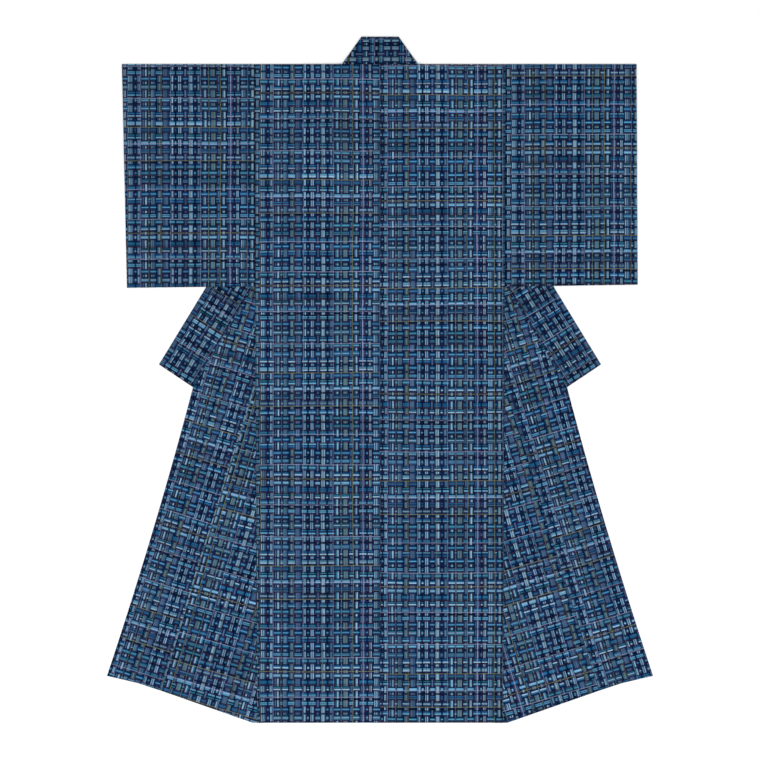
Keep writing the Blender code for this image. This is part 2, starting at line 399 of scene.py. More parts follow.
class KimonoColours(bpy.types.PropertyGroup):
    """Colours of the yarns and of the table."""

    aubergine: colour("Aubergine", "Ground of the weave", 38, 32, 64)
    navy: colour("Navy", "Edges of most blocks", 0, 26, 60)
    ink: colour("Ink", "Darkest edges", 0, 20, 44)
    deep: colour("Deep blue", "Beside the light core of a block", 2, 45, 86)
    slate: colour("Slate", "Grey blue of the warp", 62, 94, 125)
    mist: colour("Mist", "Pale grey blue", 127, 163, 190)
    moss: colour("Moss", "Grey green of the warp", 92, 119, 126)
    haze: colour("Haze", "Lilac grey of the warp", 78, 92, 130)
    sea: colour("Sea", "Teal", 34, 98, 126)
    azure: colour("Azure", "Clear blue", 28, 88, 136)
    aqua: colour("Aqua", "Light blue", 89, 149, 184)
    lilac: colour("Lilac", "Single lilac threads", 137, 147, 183)
    olive: colour("Olive", "Single olive threads", 116, 120, 86)
    russet: colour("Russet", "Single brown threads", 56, 42, 60)
    table: colour("Table", "The pale table", 250, 250, 250)


class KimonoFinish(bpy.types.PropertyGroup):
    """Sheen and relief of the weave."""

    under_shows: share("Under shows", "How much of the thread below tints the one on top", 0.06)
    thread_strength: share("Thread strength", "How strongly the single threads cover", 0.70)
    tone: share("Tone", "Lightness of all the yarns together", 0.81)
    mottle: share("Mottle", "Light and dark change of the dye", 0.11)
    stripe: share("Stripe", "Light and dark change from thread to thread", 0.75)
    # Strength of the painted shade in seams, at edges and over the sleeves, and of the collar's darker
    # tone
    shade_and_tone_strength: share("Seam dark", "How much darker the cloth is in a seam", 0.50)
    roughness: share("Roughness", "Roughness of the silk", 0.78)
    sheen: share("Sheen", "Sheen of the silk", 0.008)
    specular: share("Gloss", "Gloss level of the silk", 0.01)
    rib: length("Rib", "Pitch of the threads", 0.0009)
    # Painted shade between two threads
    rib_painted_shade: share("Rib dark", "How dark it is between two threads", 0.22)
    relief: length("Relief", "Height of the weave's relief", 0.00012)


class KimonoStage(bpy.types.PropertyGroup):
    """The table, the lights and the camera."""

    table_size: length("Table", "Side of the table", 60.0)
    camera_height: length("Camera height", "Camera above the table", 6.0)
    view_width: length("View width", "Width of the table that the picture shows", 1.9)
    view_shift: length("View shift", "How far below the middle the camera looks", 0.0006)
    sky: bpy.props.FloatProperty(
        name="Sky", description="Strength of the light from all round", default=0.76, min=0.0
    )
    lamp: bpy.props.FloatProperty(
        name="Lamp", description="Power of the large lamp in watts", default=252.0, min=0.0
    )
    lamp_size: length("Lamp size", "Side of the large lamp", 3.2)


def between(start, end, part):
    """The point or number at a share of the way from start to end."""
    if isinstance(start, tuple):
        return tuple(a + (b - a) * part for a, b in zip(start, end))
    return start + (end - start) * part


def soft_step(distance, start, end):
    """0 before start and 1 past end, with a soft slope between."""
    part = min(1.0, max(0.0, (distance - start) / (end - start)))
    return part * part * (3.0 - 2.0 * part)


def outward(line, point):
    """Distance of a point from a line, positive on the side away from the centre."""
    (start_out, start_down), (end_out, end_down) = line
    run, drop = end_out - start_out, end_down - start_down
    across = (point[0] - start_out) * drop - (point[1] - start_down) * run
    return across / math.hypot(run, drop)


def shifted(point, line, distance):
    """The point moved straight away from a line."""
    (start_out, start_down), (end_out, end_down) = line
    run, drop = end_out - start_out, end_down - start_down
    size = math.hypot(run, drop)
    return (point[0] + distance * drop / size, point[1] - distance * run / size)


def moved(line, distance):
    """The line moved away from the centre."""
    return (shifted(line[0], line, distance), shifted(line[1], line, distance))


def level_line(down):
    return ((0.0, down), (-1.0, down))


def at_down(line, down):
    """The point of a line that lies so far down."""
    start, end = line
    return between(start, end, (down - start[1]) / (end[1] - start[1]))


def turned_flat(point):
    """Where a point of the turned out front is once the long fold is opened."""
    return shifted(point, FRONT_FOLD, -2.0 * outward(FRONT_FOLD, point))


def as_front(line):
    """A line of the front on the flat cloth, beyond the shoulder."""
    return tuple((out, -down) for out, down in line)


def front_height(point):
    """Lift of the front layer, which lies on the turned out front and then on the table."""
    return LAYER * (1.0 - soft_step(outward(COLLAR_EDGE, point), SEAM_GAP, SEAM_GAP + STEP_RUN))


def back_height(point):
    """Lift of the back layer, which lies on the front layer and then on the table."""
    fall = soft_step(-outward(FRONT_FOLD, point), SEAM_GAP, SEAM_GAP + 2.0 * STEP_RUN)
    return (LAYER + front_height(point)) * (1.0 - fall)


def swell_height(x, y):
    """Lift of the whole pile of cloth by its soft swells."""
    lift = 0.0
    for middle_x, middle_y, turn, half_length, half_width, rise in SWELLS:
        angle = math.radians(turn)
        along = (x - middle_x) * math.cos(angle) + (y - middle_y) * math.sin(angle)
        across = (y - middle_y) * math.cos(angle) - (x - middle_x) * math.sin(angle)
        lift += rise * math.exp(-((along / half_length) ** 2) - (across / half_width) ** 2)
    return lift


def folded(distance, cloth):
    """Cloth rolled round a fold: its distance from the fold's outside, and -1 below to 1 above."""
    radius = LAYER / 2.0
    quarter = radius * math.pi / 2.0
    start = cloth.thickness / 2.0
    if abs(distance) >= quarter:
        return start + radius + abs(distance) - quarter, math.copysign(1.0, distance)
    angle = distance / radius
    return start + radius * (1.0 - math.cos(angle)), math.sin(angle)


def quarter_roll():
    return LAYER * math.pi / 4.0


def everywhere(point):
    return True


def back(point):
    """Picks the back of flat cloth that goes over the shoulder."""
    return point[1] > 0.0


def front(point):
    return point[1] < 0.0


def grain_of(line, turn):
    """Functions from a laid point to the flat cloth whose grain runs along a line, and back.

    On the flat cloth a point is its distance from the line, and its place along it. The turn is 1
    where the cloth lies outside the line and -1 where it lies inside.
    """
    (start_out, start_down), (end_out, end_down) = line
    size = math.dist(*line)
    run, drop = (end_out - start_out) / size, (end_down - start_down) / size

    def flat_of(point):
        out, down = point[0] - start_out, point[1] - start_down
        return (turn * (out * drop - down * run), out * run + down * drop)

    def flat_line(laid_line):
        return tuple(flat_of(point) for point in laid_line)

    def laid(flat):
        across = turn * flat[0]
        return (
            start_out + across * drop + flat[1] * run,
            start_down - across * run + flat[1] * drop,
        )

    return flat_of, flat_line, laid


def start_cloth(name, size, middle, cloth):
    """A flat grid of cloth, left open in edit mode."""
    if bpy.context.object and bpy.context.object.mode != "OBJECT":
        bpy.ops.object.mode_set(mode="OBJECT")
    bpy.ops.object.select_all(action="DESELECT")
    across = max(2, round(size[0] / cloth.cell))
    along = 2 * max(1, round(size[1] / cloth.cell / 2.0))
    bpy.ops.mesh.primitive_grid_add(x_subdivisions=across, y_subdivisions=along, size=1.0)
    piece = bpy.context.object
    piece.name = name
    piece.data.name = name
    bpy.ops.object.mode_set(mode="EDIT")
    bpy.ops.mesh.select_mode(type="FACE")
    bpy.ops.mesh.select_all(action="SELECT")
    bpy.ops.transform.resize(value=(size[0], size[1], 1.0))
    bpy.ops.transform.translate(value=(middle[0], middle[1], 0.0))
    return piece


def pick_faces(where):
    """Selects the faces whose middles are picked and says whether there are any."""
    bpy.ops.mesh.select_all(action="DESELECT")
    mesh = bmesh.from_edit_mesh(bpy.context.object.data)
    found = False
    for face in mesh.faces:
        centre = face.calc_center_median()
        if where((centre.x, centre.y)):
            face.select_set(True)
            found = True
    bmesh.update_edit_mesh(bpy.context.object.data)
    return found


def cut(line, where=everywhere):
    """Cuts the picked faces of the flat cloth along a line."""
    (start_x, start_y), (end_x, end_y) = line
    size = math.dist(*line)
    if pick_faces(where):
        bpy.ops.mesh.bisect(
            plane_co=(start_x, start_y, 0.0),
            plane_no=((end_y - start_y) / size, (start_x - end_x) / size, 0.0),
            threshold=SAME_POINT,
        )


def trim(line, keep, where=everywhere):
    """Cuts the picked cloth along a line and takes away the side that doesn't hold the point."""
    side = math.copysign(1.0, outward(line, keep))
    cut(line, where)
    if pick_faces(lambda point: where(point) and outward(line, point) * side < 0.0):
        bpy.ops.mesh.delete(type="FACE")


def near(line, reach, where=everywhere):
    """Picks what lies close to a line."""
    return lambda point: where(point) and abs(outward(line, point)) < reach


def cut_roll(line, where=everywhere, shares=FOLD_CUTS):
    """Cuts the cloth beside a line, so that it can roll round a fold there."""
    for part in shares:
        cut(moved(line, part * quarter_roll()), near(line, NEAR_FOLD, where))


def cut_slope(line, start, end, where=everywhere):
    """Cuts the cloth where it slopes down off the edge of a lower layer."""
    for part in SLOPE_CUTS:
        cut(moved(line, between(start, end, part)), near(line, NEAR_FOLD, where))


def cut_beside(edges, keep):
    """Cuts the cloth along its seams and edges, so that it can dip towards them."""
    for line, where in edges:
        side = math.copysign(1.0, outward(line, keep))
        for distance in EDGE_CUTS:
            cut(moved(line, side * distance), near(line, NEAR_FOLD, where))


def edge_distance(edges, point):
    """Distance of a point from the nearest of its seams and edges."""
    found = [abs(outward(line, point)) for line, where in edges if where(point)]
    return min(found, default=1.0)


def puff_height(edges, point, cloth):
    """Lift of the cloth away from its seams."""
    return cloth.puff * soft_step(edge_distance(edges, point), 0.0, cloth.puff_run)


def lay(piece, side, place, bolt, shade):
    """Marks each point's place on the bolt, its painted shade and its own darker tone, then lays it where
    it goes.

    Gives back the size and the area that the cloth was cut to.
    """
    bpy.ops.object.mode_set(mode="OBJECT")
    mesh = piece.data
    area = sum(polygon.area for polygon in mesh.polygons)
    cloth = bpy.context.scene.kimono_cloth
    flats = [(vert.co.x, vert.co.y) for vert in mesh.vertices]
    outs, alongs = zip(*flats)
    sizes = (max(outs) - min(outs), max(alongs) - min(alongs))
    chart = mesh.uv_layers[0]
    chart.name = "Bolt"
    for loop in mesh.loops:
        chart.data[loop.index].uv = bolt(flats[loop.vertex_index])
    # Painted shade in seams, at edges and over the sleeves, with the collar's own darker tone, kept on
    # each point
    dark = mesh.attributes.new("seam_shade", "FLOAT", "POINT")
    for vert, flat in zip(mesh.vertices, flats):
        (out, down), height = place(flat)
        x, y = side * out, SHOULDER_Y - down
        lift = cloth.above_floor + cloth.thickness / 2.0 + cloth.swell * swell_height(x, y)
        vert.co = (x, y, height + lift)
        dark.data[vert.index].value = shade(flat)
    return sizes, area


def finish_cloth(piece, node):
    """Joins what is sewn together, gives the cloth its thickness and its weave, and ties it in."""
    cloth = bpy.context.scene.kimono_cloth
    bpy.ops.object.mode_set(mode="EDIT")
    bpy.ops.mesh.select_mode(type="VERT")
    bpy.ops.mesh.select_all(action="SELECT")
    bpy.ops.mesh.remove_doubles(threshold=SEWN_TOGETHER)
    bpy.ops.mesh.normals_make_consistent(inside=False)
    bpy.ops.object.mode_set(mode="OBJECT")
    wall = piece.modifiers.new("Thickness", "SOLIDIFY")
    wall.thickness = cloth.thickness
    wall.offset = 0.0
    bpy.ops.object.modifier_apply(modifier=wall.name)
    bpy.ops.object.shade_smooth_by_angle(angle=SHARP_ANGLE)
    piece.data.materials.clear()
    piece.data.materials.append(weave_material())
    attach(piece, "root")
    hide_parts(node)


def shade_near(distance, place):
    """Painted shade beside a seam or an edge, fading out over its reach."""
    reach, strength = PAINTED_SHADE[place]
    return strength * (1.0 - soft_step(distance, 0.0, reach))


class KIMONO_OT_body(bpy.types.Operator):
    """Cuts and folds both halves of the body, each one length of cloth over the shoulder"""

    bl_idname = "kimono.body"
    bl_label = "Body halves"

    def execute(self, context):
        for side_name, side in SIDES.items():
            self.make_half(context.scene.kimono_cloth, side_name, side)
        return {"FINISHED"}

    def make_half(self, cloth, side_name, side):
        def folded_out(point):
            return front(point) and outward(FRONT_FOLD, (point[0], -point[1])) < 0.0

        def under_back(point):
            return front(point) and not folded_out(point)

        centre = ((SEAM_HALF, 0.0), (SEAM_HALF, 1.0))
        side_seam = moved(SIDE_SEAM, -SEAM_HALF)
        fold = as_front(FRONT_FOLD)
        okumi_seam = as_front([turned_flat(p) for p in moved(OKUMI_SEAM, -SEAM_HALF)])
        collar_seam = as_front([turned_flat(p) for p in moved(COLLAR_SEAM_TOP, -SEAM_HALF)])
        front_hem = as_front([turned_flat(p) for p in (FRONT_HEM_CORNER, OKUMI_SEAM_AT_HEM)])
        hem_corner = as_front([turned_flat(p) for p in (FOLD_AT_HEM, FRONT_HEM_CORNER)])
        tongue_top = (at_down(FRONT_FOLD, FOLD_TOP_DOWN), at_down(COLLAR_SEAM_TOP, FOLD_TOP_DOWN))
        tongue_top = as_front([turned_flat(p) for p in tongue_top])
        corner = as_front([turned_flat(OKUMI_POINT)] * 2)[0]

        def above_okumi(point):
            return front(point) and point[1] > corner[1]

        def below_okumi(point):
            return front(point) and point[1] < corner[1]

        def at_neck(point):
            return front(point) and point[0] < NECK_PART

        half_width = BACK_HALF_AT_SHOULDER + SPARE_ACROSS
        full_length = 2.0 * (SHOULDER_TO_HEM + SPARE_ALONG)
        hem = level_line(SHOULDER_TO_HEM)
        piece = start_cloth(
            "cloth_body_" + side_name,
            (half_width - SEAM_HALF, full_length),
            ((half_width + SEAM_HALF) / 2.0, 0.0),
            cloth,
        )
        back_middle, front_middle = (0.15, 0.8), (0.2, -0.8)
        trim(hem, back_middle, back)
        trim(side_seam, back_middle, back)
        trim(as_front(side_seam), front_middle, front)
        cut(level_line(corner[1]), at_neck)
        trim(okumi_seam, front_middle, below_okumi)
        trim(collar_seam, front_middle, above_okumi)
        cut_roll(fold, front)
        trim(front_hem, front_middle, folded_out)
        trim(hem_corner, front_middle, folded_out)
        trim(level_line(-FOLD_END_DOWN), front_middle, under_back)
        trim(tongue_top, front_middle, lambda point: folded_out(point) and at_neck(point))
        cut_roll(level_line(0.0))
        cut_slope(FRONT_FOLD, -SEAM_GAP, -SEAM_GAP - 2.0 * STEP_RUN, back)
        cut_slope(COLLAR_EDGE, SEAM_GAP, SEAM_GAP + STEP_RUN, back)
        cut_slope(as_front(COLLAR_EDGE), -SEAM_GAP, -SEAM_GAP - STEP_RUN, under_back)
        back_edges = [(centre, back), (side_seam, back), (hem, back)]
        front_edges = [
            (as_front(side_seam), under_back),
            (okumi_seam, lambda point: folded_out(point) and below_okumi(point)),
            (collar_seam, lambda point: folded_out(point) and above_okumi(point)),
            (front_hem, folded_out),
        ]
        cut_beside(back_edges, back_middle)
        cut_beside(front_edges, front_middle)
        edges = back_edges + front_edges

        def place(flat):
            out, along = flat
            turn, level = folded(along, cloth)
            joined = soft_step(out, NECK_HALF, NECK_HALF + SHOULDER_FOLD_RUN)
            if along < 0.0:
                point = (out, -along)
                distance = outward(FRONT_FOLD, point)
                front_turn, front_level = folded(distance, cloth)
                away = soft_step(-along, 0.0, LONG_FOLD_EASE)
                point = shifted(point, FRONT_FOLD, away * (front_turn - distance))
                part = between(1.0, (1.0 + front_level) / 2.0, away)
                point = (point[0], point[1] + turn + along)
                front_z = between(0.0, front_height(point), part)
            else:
                point = (out, between(along, turn, joined))
                level = between(1.0, level, joined)
                front_z = front_height(point)
            height = between(front_z, back_height(point), (1.0 + level) / 2.0)
            return point, height + puff_height(edges, flat, cloth)

        def bolt(flat):
            across, along = BOLT_START["body_" + side_name]
            place_across = BACK_HALF_AT_SHOULDER - flat[0] if side < 0.0 else flat[0]
            return (across + place_across, along + flat[1])

        # Painted shade in the seams and along the edges, and a wider darker band inside the side seam
        def shade(flat):
            if back(flat):
                from_side = -outward(side_seam, flat)
                return max(
                    shade_near(outward(centre, flat), "centre seam"),
                    shade_near(from_side, "round side seam"),
                    shade_near(from_side, "side seam"),
                    shade_near(edge_distance(edges, flat), "back edges"),
                )
            return shade_near(edge_distance(edges, flat), "front edges")

        cut_to = lay(piece, side, place, bolt, shade)
        finish_cloth(piece, "body_" + side_name)


class KIMONO_OT_sleeves(bpy.types.Operator):
    """Cuts and folds both sleeves, each one length folded at the shoulder and sewn below the cuff"""

    bl_idname = "kimono.sleeves"
    bl_label = "Sleeves"

    def execute(self, context):
        for side_name, side in SIDES.items():
            self.make_sleeve(context.scene.kimono_cloth, side_name, side, SLEEVES[side_name])
        return {"FINISHED"}

    def make_sleeve(self, cloth, side_name, side, sizes):
        body_end = at_down(SIDE_SEAM, sizes["deep_at_body"])
        cuff_end = (sizes["cuff_bottom"], sizes["deep_at_cuff"])
        body_side = moved(SIDE_SEAM, SEAM_HALF)
        bottom = (cuff_end, body_end)
        cuff = ((sizes["cuff_top"], 0.0), cuff_end)
        inner = BACK_HALF_AT_HEM
        outer = max(sizes["cuff_top"], sizes["cuff_bottom"]) + SLEEVE_SPARE[0]
        depth = max(sizes["deep_at_cuff"], sizes["deep_at_body"]) + SLEEVE_SPARE[1]
        piece = start_cloth(
            "cloth_sleeve_" + side_name,
            (outer - inner, 2.0 * depth),
            ((outer + inner) / 2.0, 0.0),
            cloth,
        )
        back_middle, front_middle = (0.45, 0.3), (0.45, -0.3)
        for flat_line, half, kept in (
            (lambda line: line, back, back_middle),
            (as_front, front, front_middle),
        ):
            trim(flat_line(body_side), kept, half)
            trim(flat_line(bottom), kept, half)
            trim(flat_line(cuff), kept, half)
            cut_roll(flat_line(bottom), half)
            cut_roll(flat_line(cuff), half)
            cut(flat_line(level_line(CUFF_OPENING)), half)
            cut(flat_line(level_line(CUFF_OPENING - CUFF_EASE)), half)
        cut_roll(level_line(0.0))
        cut_slope(COLLAR_EDGE, SEAM_GAP, SEAM_GAP + STEP_RUN, back)
        cut_slope(as_front(COLLAR_EDGE), -SEAM_GAP, -SEAM_GAP - STEP_RUN, front)
        edges = [
            (body_side, back),
            (bottom, back),
            (cuff, back),
            (as_front(body_side), front),
            (as_front(bottom), front),
            (as_front(cuff), front),
        ]
        cut_beside(edges[:3], back_middle)
        cut_beside(edges[3:], front_middle)

        def place(flat):
            out, along = flat
            point = (out, abs(along))
            shoulder_turn, level = folded(along, cloth)
            bottom_inside = abs(outward(bottom, point))
            bottom_turn, bottom_level = folded(bottom_inside, cloth)
            cuff_inside = abs(outward(cuff, point))
            cuff_turn, cuff_level = folded(cuff_inside, cloth)
            closed = soft_step(abs(along), CUFF_OPENING - CUFF_EASE, CUFF_OPENING)
            level = level * bottom_level * between(1.0, cuff_level, closed)
            point = (point[0], point[1] + shoulder_turn - abs(along))
            point = shifted(point, bottom, bottom_inside - bottom_turn)
            point = shifted(point, cuff, closed * (cuff_inside - cuff_turn))
            height = front_height(point) + LAYER * (1.0 + level) / 2.0
            return point, height + puff_height(edges, flat, cloth)

        def bolt(flat):
            across, along = BOLT_START["sleeve_" + side_name]
            start = sizes["cuff_top"] if side < 0.0 else BACK_HALF_AT_SHOULDER
            return (across + abs(flat[0] - start), along + flat[1])

        # Painted shade at the armhole and the edges, on a sleeve painted darker all over for less light
        # towards the top
        def shade(flat):
            at_body = shade_near(edge_distance([edges[0], edges[3]], flat), "armhole")
            return max(SLEEVE_PAINTED_SHADE, at_body, shade_near(edge_distance(edges, flat), "sleeve edges"))

        cut_to = lay(piece, side, place, bolt, shade)
        finish_cloth(piece, "sleeve_" + side_name)


class KIMONO_OT_okumi(bpy.types.Operator):
    """Cuts both okumi, the long panels between the turned out fronts and the collar"""

    bl_idname = "kimono.okumi"
    bl_label = "Okumi"

    def execute(self, context):
        for side_name, side in SIDES.items():
            self.make_okumi(context.scene.kimono_cloth, side_name, side)
        return {"FINISHED"}

    def make_okumi(self, cloth, side_name, side):
        flat_of, flat_line, laid = grain_of(OKUMI_SEAM, 1.0)
        seam_length = math.dist(*OKUMI_SEAM)
        seam = flat_line(moved(OKUMI_SEAM, SEAM_HALF))
        collar_seam = flat_line(moved(COLLAR_SEAM, -SEAM_HALF))
        free_edge = flat_line((COLLAR_HEEL, OKUMI_HEM_CORNER))
        inner_hem = flat_line((OKUMI_SEAM_AT_HEM, OKUMI_HEM_MIDDLE))
        outer_hem = flat_line((OKUMI_HEM_MIDDLE, OKUMI_HEM_CORNER))
        hem_middle = flat_of(OKUMI_HEM_MIDDLE)
        heel, hem_corner = flat_of(COLLAR_HEEL), flat_of(OKUMI_HEM_CORNER)

        def inner(point):
            return point[0] < hem_middle[0]

        def outer(point):
            return point[0] > hem_middle[0]

        def at_hem(point):
            return point[1] > seam_length - OKUMI_HEM_PART

        width, full = heel[0] + SPARE_ACROSS, hem_corner[1] + SPARE_ALONG
        piece = start_cloth("cloth_okumi_" + side_name, (width, full), (width / 2.0, full / 2.0), cloth)
        keep = (0.07, 1.0)
        trim(seam, keep)
        trim(collar_seam, keep)
        trim(free_edge, keep)
        cut(((hem_middle[0], 0.0), (hem_middle[0], 1.0)), at_hem)
        trim(inner_hem, keep, lambda point: inner(point) and at_hem(point))
        trim(outer_hem, keep, lambda point: outer(point) and at_hem(point))
        edges = [
            (seam, everywhere),
            (collar_seam, lambda point: point[1] < heel[1] + HEEL_PART[1]),
            (free_edge, lambda point: point[1] > heel[1] + HEEL_PART[0]),
            (inner_hem, lambda point: inner(point) and at_hem(point)),
            (outer_hem, lambda point: outer(point) and at_hem(point)),
        ]
        cut_beside(edges, keep)

        def place(flat):
            part = (flat[1] - heel[1]) / (hem_corner[1] - heel[1])
            bow = OKUMI_EDGE_BOW * 4.0 * part * (1.0 - part) if 0.0 < part < 1.0 else 0.0
            bowed = (flat[0] - bow * (flat[0] / heel[0]) ** 2, flat[1])
            return laid(bowed), puff_height(edges, flat, cloth)

        def bolt(flat):
            across, along = BOLT_START["okumi_" + side_name]
            place_across = width - flat[0] if side < 0.0 else flat[0]
            return (across + place_across, along + flat[1])

        # Painted shade along the seams and edges
        def shade(flat):
            return shade_near(edge_distance(edges, flat), "okumi edges")

        cut_to = lay(piece, side, place, bolt, shade)
        finish_cloth(piece, "okumi_" + side_name)


class KIMONO_OT_collar(bpy.types.Operator):
    """Cuts the collar: a leg down each front, and the part that is doubled over behind the neck"""

    bl_idname = "kimono.collar"
    bl_label = "Collar"

    def execute(self, context):
        cloth = context.scene.kimono_cloth
        for side_name, side in SIDES.items():
            self.make_leg(cloth, side_name, side)
        self.make_neck(cloth)
        return {"FINISHED"}

    def make_leg(self, cloth, side_name, side):
        flat_of, flat_line, laid = grain_of(COLLAR_EDGE, -1.0)
        seam = flat_line(moved(COLLAR_SEAM, SEAM_HALF))
        seam_top = flat_line(moved(COLLAR_SEAM_TOP, SEAM_HALF))
        end = flat_line(COLLAR_END)
        slant = flat_line(moved(COLLAR_SLANT, -LEG_SHORT_OF_SLANT))
        top = flat_line(level_line(-COLLAR_INNER_RISE))
        neck_side = flat_line(((NECK_HALF, 0.0), (NECK_HALF, -1.0)))
        okumi_point = flat_of(OKUMI_POINT)
        outer_edge = ((0.0, 0.0), (0.0, 1.0))

        def above(point):
            return point[1] < okumi_point[1]

        def at_neck(point):
            return laid(point)[1] < 0.0

        full = math.dist(*COLLAR_EDGE) - LEG_GRID_START + SPARE_ALONG
        piece = start_cloth(
            "cloth_collar_leg_" + side_name,
            (LEG_GRID_WIDTH, full),
            (LEG_GRID_WIDTH / 2.0 - LEG_SPARE, LEG_GRID_START + full / 2.0),
            cloth,
        )
        keep = (0.05, 0.5)
        inside_slant, inside_neck = flat_of((0.075, 0.0)), flat_of((0.080, -0.01))
        cut(level_line(okumi_point[1]))
        cut(flat_line(level_line(0.0)))
        trim(seam, keep, lambda point: not above(point))
        trim(seam_top, keep, lambda point: above(point) and not at_neck(point))
        trim(outer_edge, keep, lambda point: not at_neck(point))
        trim(slant, inside_slant, at_neck)
        trim(neck_side, inside_neck, at_neck)
        trim(top, keep)
        trim(end, keep)
        edges = [
            (outer_edge, everywhere),
            (seam, lambda point: not above(point)),
            (seam_top, above),
            (end, everywhere),
        ]
        cut_beside(edges, keep)

        def place(flat):
            return laid(flat), puff_height(edges, flat, cloth)

        def bolt(flat):
            across, along = BOLT_START["collar"]
            return (across + flat[0], along + side * (flat[1] + COLLAR_BASE_HALF))

        # The collar's own darker tone, with painted shade along its edges
        def shade(flat):
            return max(COLLAR_DARK, shade_near(edge_distance(edges, flat), "collar edges"))

        cut_to = lay(piece, side, place, bolt, shade)
        finish_cloth(piece, "collar")

    def make_neck(self, cloth):
        """The doubled part: the flat cloth runs from its inner half over the top to its outer half."""
        inner_depth = COLLAR_RISE - COLLAR_INNER_RISE
        outer_depth = COLLAR_RISE - SEAM_GAP
        slants = {}
        for name, side in SIDES.items():
            top, base = (side * COLLAR_TOP_HALF, 0.0), (side * COLLAR_BASE_HALF, COLLAR_RISE)
            slants[name] = (top, base)
        width, depth = 2.0 * COLLAR_BASE_HALF + NECK_SPARE, 2.0 * outer_depth
        piece = start_cloth("cloth_collar_neck", (width, depth), (0.0, 0.0), cloth)

        def outer(point):
            return point[1] > 0.0

        def inner(point):
            return point[1] < 0.0

        outer_middle, inner_middle = (0.0, 0.02), (0.0, -0.02)
        trim(level_line(-inner_depth), (0.0, 0.0), inner)
        for line in slants.values():
            for half, kept, flat_line in (
                (outer, outer_middle, line),
                (inner, inner_middle, as_front(line)),
            ):
                trim(flat_line, kept, half)
                cut_roll(flat_line, half)
        cut_roll(level_line(0.0))
        base = level_line(outer_depth)
        edges = [(base, outer)]
        cut_beside(edges, (0.0, 0.0))
        for line in slants.values():
            cut_beside([(line, outer)], outer_middle)

        def place(flat):
            across, along = flat
            point = (across, abs(along))
            shoulder_turn, level = folded(along, cloth)
            for name, line in slants.items():
                inside = abs(outward(line, point))
                turn, slant_level = folded(inside, cloth)
                level *= slant_level
                point = shifted(point, line, -SIDES[name] * (turn - inside))
            point = (point[0], point[1] + shoulder_turn - abs(along) - COLLAR_RISE)
            down_to_back = soft_step(point[1], -COLLAR_INNER_RISE, 0.0)
            upper = between(LAYER, back_height((abs(point[0]), 0.0)), down_to_back)
            height = between(0.0, upper, (1.0 + level) / 2.0)
            return point, height + puff_height(edges, flat, cloth)

        def bolt(flat):
            across, along = BOLT_START["collar"]
            return (across + NECK_ON_BOLT + abs(flat[1]), along + flat[0])

        # The doubled neck's own darker tone, with painted shade along its edges
        def shade(flat):
            at_slant = min(abs(outward(line, (flat[0], abs(flat[1])))) for line in slants.values())
            at_base = abs(flat[1] - outer_depth)
            return max(NECK_DARK, shade_near(min(at_slant, at_base), "neck edges"))

        cut_to = lay(piece, 1.0, place, bolt, shade)
        finish_cloth(piece, "collar")


def add_node(tree, kind, **settings):
    """Adds a shader node; a setting is one of its own values."""
    made = tree.nodes.new(kind)
    for name, value in settings.items():
        setattr(made, name, value)
    return made


def feed(tree, socket, value):
    """Links a socket to another, or sets it."""
    if isinstance(value, bpy.types.NodeSocket):
        tree.links.new(value, socket)
    else:
        socket.default_value = value


def sum_of(tree, operation, *values):
    """One step of arithmetic."""
    made = add_node(tree, "ShaderNodeMath", operation=operation)
    for socket, value in zip(made.inputs, values):
        feed(tree, socket, value)
    return made.outputs[0]


def remapped(tree, value, low, high, new_low=0.0, new_high=1.0):
    made = add_node(tree, "ShaderNodeMapRange", clamp=True)
    for name, number in (
        ("Value", value),
        ("From Min", low),
        ("From Max", high),
        ("To Min", new_low),
        ("To Max", new_high),
    ):
        feed(tree, made.inputs[name], number)
    return made.outputs["Result"]


def blended(tree, part, first, second):
    """Two colours mixed by a share."""
    made = add_node(tree, "ShaderNodeMix", data_type="RGBA")
    feed(tree, made.inputs["Factor"], part)
    feed(tree, made.inputs[6], first)
    feed(tree, made.inputs[7], second)
    return made.outputs[2]


def either(tree, part, first, second):
    """Two numbers mixed by a share."""
    made = add_node(tree, "ShaderNodeMix", data_type="FLOAT")
    feed(tree, made.inputs["Factor"], part)
    feed(tree, made.inputs[2], first)
    feed(tree, made.inputs[3], second)
    return made.outputs[0]


def chart_stops(chart):
    """Every place on a chart where the colour changes; a row's kind is 0 or 1 in turn."""
    colours = bpy.context.scene.kimono_colours
    stops = []
    start = 0.0
    for index, (width, filling, first, second, halo, edge) in enumerate(chart):
        names = {"first": first, "second": second, "halo": halo, "edge": edge, "ground": "aubergine"}
        for part, begin in FILLINGS[filling]:
            tint = tuple(getattr(colours, names[part]))
            stops.append((start + begin * width * MM, tint + (float(index % 2),)))
        start += width * MM
    return stops, start


def thread_stops(threads, repeat):
    """Stops for single threads; the fourth number says how much a thread covers."""
    colours = bpy.context.scene.kimono_colours
    cover = bpy.context.scene.kimono_finish.thread_strength
    stops = [(0.0, (0.0, 0.0, 0.0, 0.0))]
    for place, width, name in threads:
        tint = tuple(getattr(colours, name))
        stops.append((place * MM, tint + (cover,)))
        stops.append(((place + width) * MM, tint + (0.0,)))
    return stops, repeat


